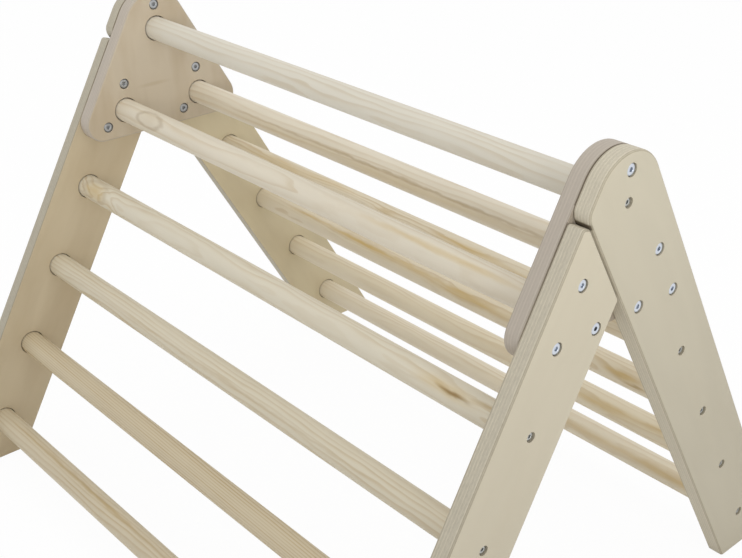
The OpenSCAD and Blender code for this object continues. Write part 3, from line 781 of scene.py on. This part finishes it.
def rungTree():
    # sweeps a round bar along every line it is given, narrowed at the ends by endScale
    tree, given = emptyTree("turnedRungs", Diameter="Float", Sides="Int")
    lines = addNode(tree, "GeometryNodeMeshToCurve", {0: given["Geometry"]})
    capture = tree.nodes.new("GeometryNodeCaptureAttribute")
    capture.capture_items.new("VECTOR", "Centre")
    tree.links.new(lines, capture.inputs["Geometry"])
    tree.links.new(addNode(tree, "GeometryNodeInputPosition"), capture.inputs["Centre"])
    radius = addNode(tree, "ShaderNodeMath", {0: given["Diameter"], 1: 0.5}, operation="MULTIPLY")
    circle = addNode(tree, "GeometryNodeCurvePrimitiveCircle", {
        "Resolution": given["Sides"], "Radius": radius})
    endScale = addNode(tree, "GeometryNodeInputNamedAttribute", {"Name": "endScale"}, data_type="FLOAT")
    bars = addNode(tree, "GeometryNodeCurveToMesh", {
        "Curve": capture.outputs["Geometry"], "Profile Curve": circle, "Scale": endScale, "Fill Caps": True})
    place = addNode(tree, "GeometryNodeInputPosition")
    local = addNode(tree, "ShaderNodeVectorMath", {
        0: place, 1: capture.outputs["Centre"]}, operation="SUBTRACT")
    pith = addNode(tree, "GeometryNodeInputNamedAttribute", {"Name": "pith"}, data_type="FLOAT_VECTOR")
    runOut = addNode(tree, "GeometryNodeInputNamedAttribute", {"Name": "runOut"}, data_type="FLOAT_VECTOR")
    along = addNode(tree, "ShaderNodeSeparateXYZ", {0: capture.outputs["Centre"]}, out="X")
    slope = addNode(tree, "ShaderNodeVectorMath", {0: runOut, "Scale": along}, operation="SCALE")
    fromPith = addNode(tree, "ShaderNodeVectorMath", {0: local, 1: pith}, operation="SUBTRACT")
    inLog = addNode(tree, "ShaderNodeVectorMath", {0: fromPith, 1: slope}, operation="ADD")
    straight = addNode(tree, "ShaderNodeCombineXYZ", {"X": along})
    logPlace = addNode(tree, "ShaderNodeVectorMath", {0: inLog, 1: straight}, operation="ADD")
    stored = addNode(tree, "GeometryNodeStoreNamedAttribute", {
        "Geometry": bars, "Name": "logPlace", "Value": logPlace}, data_type="FLOAT_VECTOR", domain="POINT")
    angle = addNode(tree, "GeometryNodeInputMeshEdgeAngle")
    soft = addNode(tree, "FunctionNodeCompare", {
        0: angle, 1: math.radians(rungShape["softTurn"])}, data_type="FLOAT", operation="LESS_THAN")
    smooth = addNode(tree, "GeometryNodeSetShadeSmooth", {
        "Geometry": stored, "Shade Smooth": soft}, domain="EDGE")
    endTree(tree, smooth, given["Material"])
    return tree


def asPlainMesh(piece, tree, values):
    # runs the tree once with these inputs and keeps what it makes as a plain mesh
    modifier = piece.modifiers.new("build", "NODES")
    modifier.node_group = tree
    for socket in tree.interface.items_tree:
        if socket.in_out == "INPUT" and socket.name in values:
            modifier[socket.identifier] = values[socket.name]
    bpy.context.view_layer.update()
    built = piece.evaluated_get(bpy.context.evaluated_depsgraph_get())
    made = bpy.data.meshes.new_from_object(built)
    made.name = piece.name
    piece.modifiers.clear()
    piece.data = made


def turnRungs(pieceName, body, nodes, tree):
    verts, edges, values = [], [], {}
    chance = random.Random(rungShape["seed"] + len(nodes))
    chamfer = rungShape["endChamfer"]
    diameter = max(high.z - low.z for low, high in map(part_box, nodes))
    endScale = 1 - 2 * chamfer / diameter
    for number, node in enumerate(nodes):
        low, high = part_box(node)
        middle = (low + high) / 2
        tint, pithAway, pithTurn, spacing, contrast, wander = rungShape["wood"][node]
        pith = (-number * rungShape["logStep"], *atAngle(pithAway / 1000, math.radians(pithTurn)))
        runOut = (0, *atAngle(rungShape["runOut"], chance.uniform(0, 2 * math.pi)))
        edges += [(len(verts) + i, len(verts) + i + 1) for i in range(3)]
        for x, scale in ((low.x, endScale), (low.x + chamfer, 1), (high.x - chamfer, 1), (high.x, endScale)):
            verts.append((x, middle.y, middle.z))
            for name, value in (("endScale", scale), ("pith", pith), ("runOut", runOut),
                                ("woodTint", toLinear(tint)[:3]), ("ringSpacing", spacing / 1000),
                                ("ringContrast", contrast), ("grainWander", wander / 1000)):
                values.setdefault(name, []).append(value)
    mesh = bpy.data.meshes.new(pieceName)
    mesh.from_pydata(verts, edges, [])
    for name, column in values.items():
        storeValues(mesh, name, column)
    piece = addObject(pieceName, mesh)
    asPlainMesh(piece, tree, {"Diameter": diameter, "Sides": rungShape["sides"], "Material": pine})
    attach(piece, body)
    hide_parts(*nodes)


rungs = rungTree()
turnRungs("gussetRungs", "rear_ladder", ["top_rung", "upper_front_rung", "upper_rear_rung"], rungs)
turnRungs("rearRungs", "rear_ladder", [f"rear_rung_{n}" for n in range(1, 5)], rungs)
turnRungs("frontRungs", "front_ladder", [f"front_rung_{n}" for n in range(1, 5)], rungs)
print("rungs made")


# Bolts, sleeve nuts and screws

# profiles run from the edge of the hex socket out to the rim: radius as a share of the head's, depth
# in mm, and the painted shade there: the share of the colour that is left
fittings = {
    "bolt": {"hexAcross": 0.0040, "hexDepth": 0.0024, "shank": 0.0060, "socketShade": (1, 0.8),
             "profile": [(0.60, 0, 1), (0.78, 0.15, 1), (0.90, 0.5, 0.85), (1, 1.1, 0.3)],
             "plate": "brightZincPlate", "slot": "zinc_bolts"},
    "sleeveNut": {"hexAcross": 0.0040, "hexDepth": 0.0020, "shank": 0.0090, "socketShade": (0.9, 0.7),
                  "profile": [(0.62, 0, 1), (0.78, 0.1, 1), (0.88, 0.35, 0.5), (1, 0.9, 0.25)],
                  "plate": "dullZincPlate", "slot": "zinc_sleeve_nuts"},
    "screw": {"hexAcross": 0.0031, "hexDepth": 0.0013, "shank": 0.0046, "socketShade": (0.8, 0.65),
              "profile": [(0.70, 0, 1), (0.86, 0.15, 1), (0.94, 0.4, 0.8), (1, 0.8, 0.35)],
              "plate": "screwZincPlate", "slot": "zinc_screws"},
    "headThickness": 0.0022,
    "countersink": 0.0003,  # round the mouth of the hex socket
    "tipChamfer": 0.0005,
    "drillPoint": 0.0004,  # deepest part of the socket, left by the drill
    "sides": 48,
    "seed": 7,
}


def islandBoxes(nodeName):
    # lowest and highest corner of each separate solid in a node
    work = mergedCopy(nodeName)
    waiting = set(work.verts)
    boxes = []
    while waiting:
        island = [waiting.pop()]
        for reached in island:
            joined = {edge.other_vert(reached) for edge in reached.link_edges} & waiting
            waiting -= joined
            island += joined
        low = Vector(min(v.co[i] for v in island) for i in range(3))
        high = Vector(max(v.co[i] for v in island) for i in range(3))
        boxes.append((low, high))
    work.free()
    return sorted(boxes, key=lambda b: (b[0].x, b[0].z, b[0].y))


def headedPin(name, shape, headDiameter, length):
    # a turned pin with a hex socket: its head's top lies in z = 0 and the shank hangs below
    sides, sink, thickness = (fittings[key] for key in ("sides", "countersink", "headThickness"))
    tipChamfer = fittings["tipChamfer"]
    flat = shape["hexAcross"] / 2
    corner = flat / math.cos(math.pi / 6)
    rim, shank = headDiameter / 2, shape["shank"] / 2
    socketTop, socketEnd = shape["socketShade"]
    rimShade = shape["profile"][-1][2]
    # round rings from the shank's tip to the socket: radius, height, shade
    rows = [(shank - tipChamfer, -length, rimShade), (shank, -length + tipChamfer, rimShade),
            (shank, -thickness, rimShade), (rim, -thickness, rimShade)]
    rows += [(rim * share, -depth / 1000, shade) for share, depth, shade in reversed(shape["profile"])]
    rows.append((corner + sink, 0, shape["profile"][0][2]))
    work = bmesh.new()
    plateShade = work.verts.layers.float.new("plateShade")

    def layPoint(radius, angle, z, shade):
        vert = work.verts.new((*atAngle(radius, angle), z))
        vert[plateShade] = shade
        return vert

    angles = [2 * math.pi * i / sides for i in range(sides)]
    rings = [[layPoint(radius, a, z, shade) for a in angles] for radius, z, shade in rows]
    hexRadii = [flat / math.cos((a + math.pi / 6) % (math.pi / 3) - math.pi / 6) for a in angles]
    for z, shade in ((-sink, socketTop), (-shape["hexDepth"], socketEnd)):
        rings.append([layPoint(radius, a, z, shade) for radius, a in zip(hexRadii, angles)])
    tip = layPoint(0, 0, -length, rimShade)
    drillPoint = layPoint(0, 0, -shape["hexDepth"] - fittings["drillPoint"], socketEnd)
    for i in range(sides):
        after = (i + 1) % sides
        for lower, upper in zip(rings, rings[1:]):
            work.faces.new((lower[i], lower[after], upper[after], upper[i]))
        work.faces.new((rings[0][after], rings[0][i], tip))
        work.faces.new((rings[-1][i], rings[-1][after], drillPoint))
    return addObject(name, shadedMesh(work, name))


def fittingTree():
    # stands one pin on every point, its head along headWay, each turned by a random angle
    tree, given = emptyTree("fittings", Pin="Object", Seed="Int")
    headWay = addNode(tree, "GeometryNodeInputNamedAttribute", {
        "Name": "headWay"}, data_type="FLOAT_VECTOR")
    spin = addNode(tree, "FunctionNodeRandomValue", {
        2: 0.0, 3: math.pi / 3, "Seed": given["Seed"]}, out=1, data_type="FLOAT")
    facing = addNode(tree, "FunctionNodeAlignRotationToVector", {"Vector": headWay}, axis="Z")
    turn = addNode(tree, "FunctionNodeAxisAngleToRotation", {"Axis": (0, 0, 1), "Angle": spin})
    rotation = addNode(tree, "FunctionNodeRotateRotation", {
        "Rotation": facing, "Rotate By": turn}, rotation_space="LOCAL")
    pin = addNode(tree, "GeometryNodeObjectInfo", {"Object": given["Pin"]}, out="Geometry")
    placed = addNode(tree, "GeometryNodeInstanceOnPoints", {
        "Points": given["Geometry"], "Instance": pin, "Rotation": rotation})
    endTree(tree, placed, given["Material"])
    return tree


def standFittings(pieceName, body, kind, *bothSides):
    # one piece out of the left and right nodes of these names
    nodes = [f"{side}_{name}" for name in bothSides for side in ("left", "right")]
    shape = fittings[kind]
    boxes = [box for node in nodes for box in islandBoxes(node)]
    points, ways = [], []
    for low, high in boxes:
        # bolts and screws have their heads outside, sleeve nuts have their caps inside
        outwards = 1 if low.x > 0 else -1
        way = -outwards if kind == "sleeveNut" else outwards
        points.append((high.x if way > 0 else low.x, (low.y + high.y) / 2, (low.z + high.z) / 2))
        ways.append((way, 0, 0))
    pin = headedPin(f"{pieceName}Pin", shape, high.y - low.y, high.x - low.x)
    mesh = bpy.data.meshes.new(pieceName)
    mesh.from_pydata(points, [], [])
    storeValues(mesh, "headWay", ways)
    piece = addObject(pieceName, mesh)
    asPlainMesh(piece, pins, {"Pin": pin, "Seed": fittings["seed"], "Material": zinc[shape["plate"]]})
    bpy.data.objects.remove(pin)
    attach(piece, body)
    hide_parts(*nodes)


pins = fittingTree()
standFittings("rearBolts", "rear_ladder", "bolt", "rear_bolts")
standFittings("pivotBolts", "rear_ladder", "bolt", "pivot_bolt")
standFittings("lockBolts", "front_ladder", "bolt", "lock_bolts")
standFittings("sleeveNuts", "rear_ladder", "sleeveNut", "rear_sleeve_nuts", "lock_sleeve_nuts")
standFittings("pivotSleeveNuts", "rear_ladder", "sleeveNut", "pivot_sleeve_nut")
standFittings("topRungScrews", "rear_ladder", "screw", "top_rung_screw")
standFittings("rearRungScrews", "rear_ladder", "screw", "rear_rung_screws", "gusset_rung_screws")
standFittings("frontRungScrews", "front_ladder", "screw", "front_rung_screws")
print("fittings made")
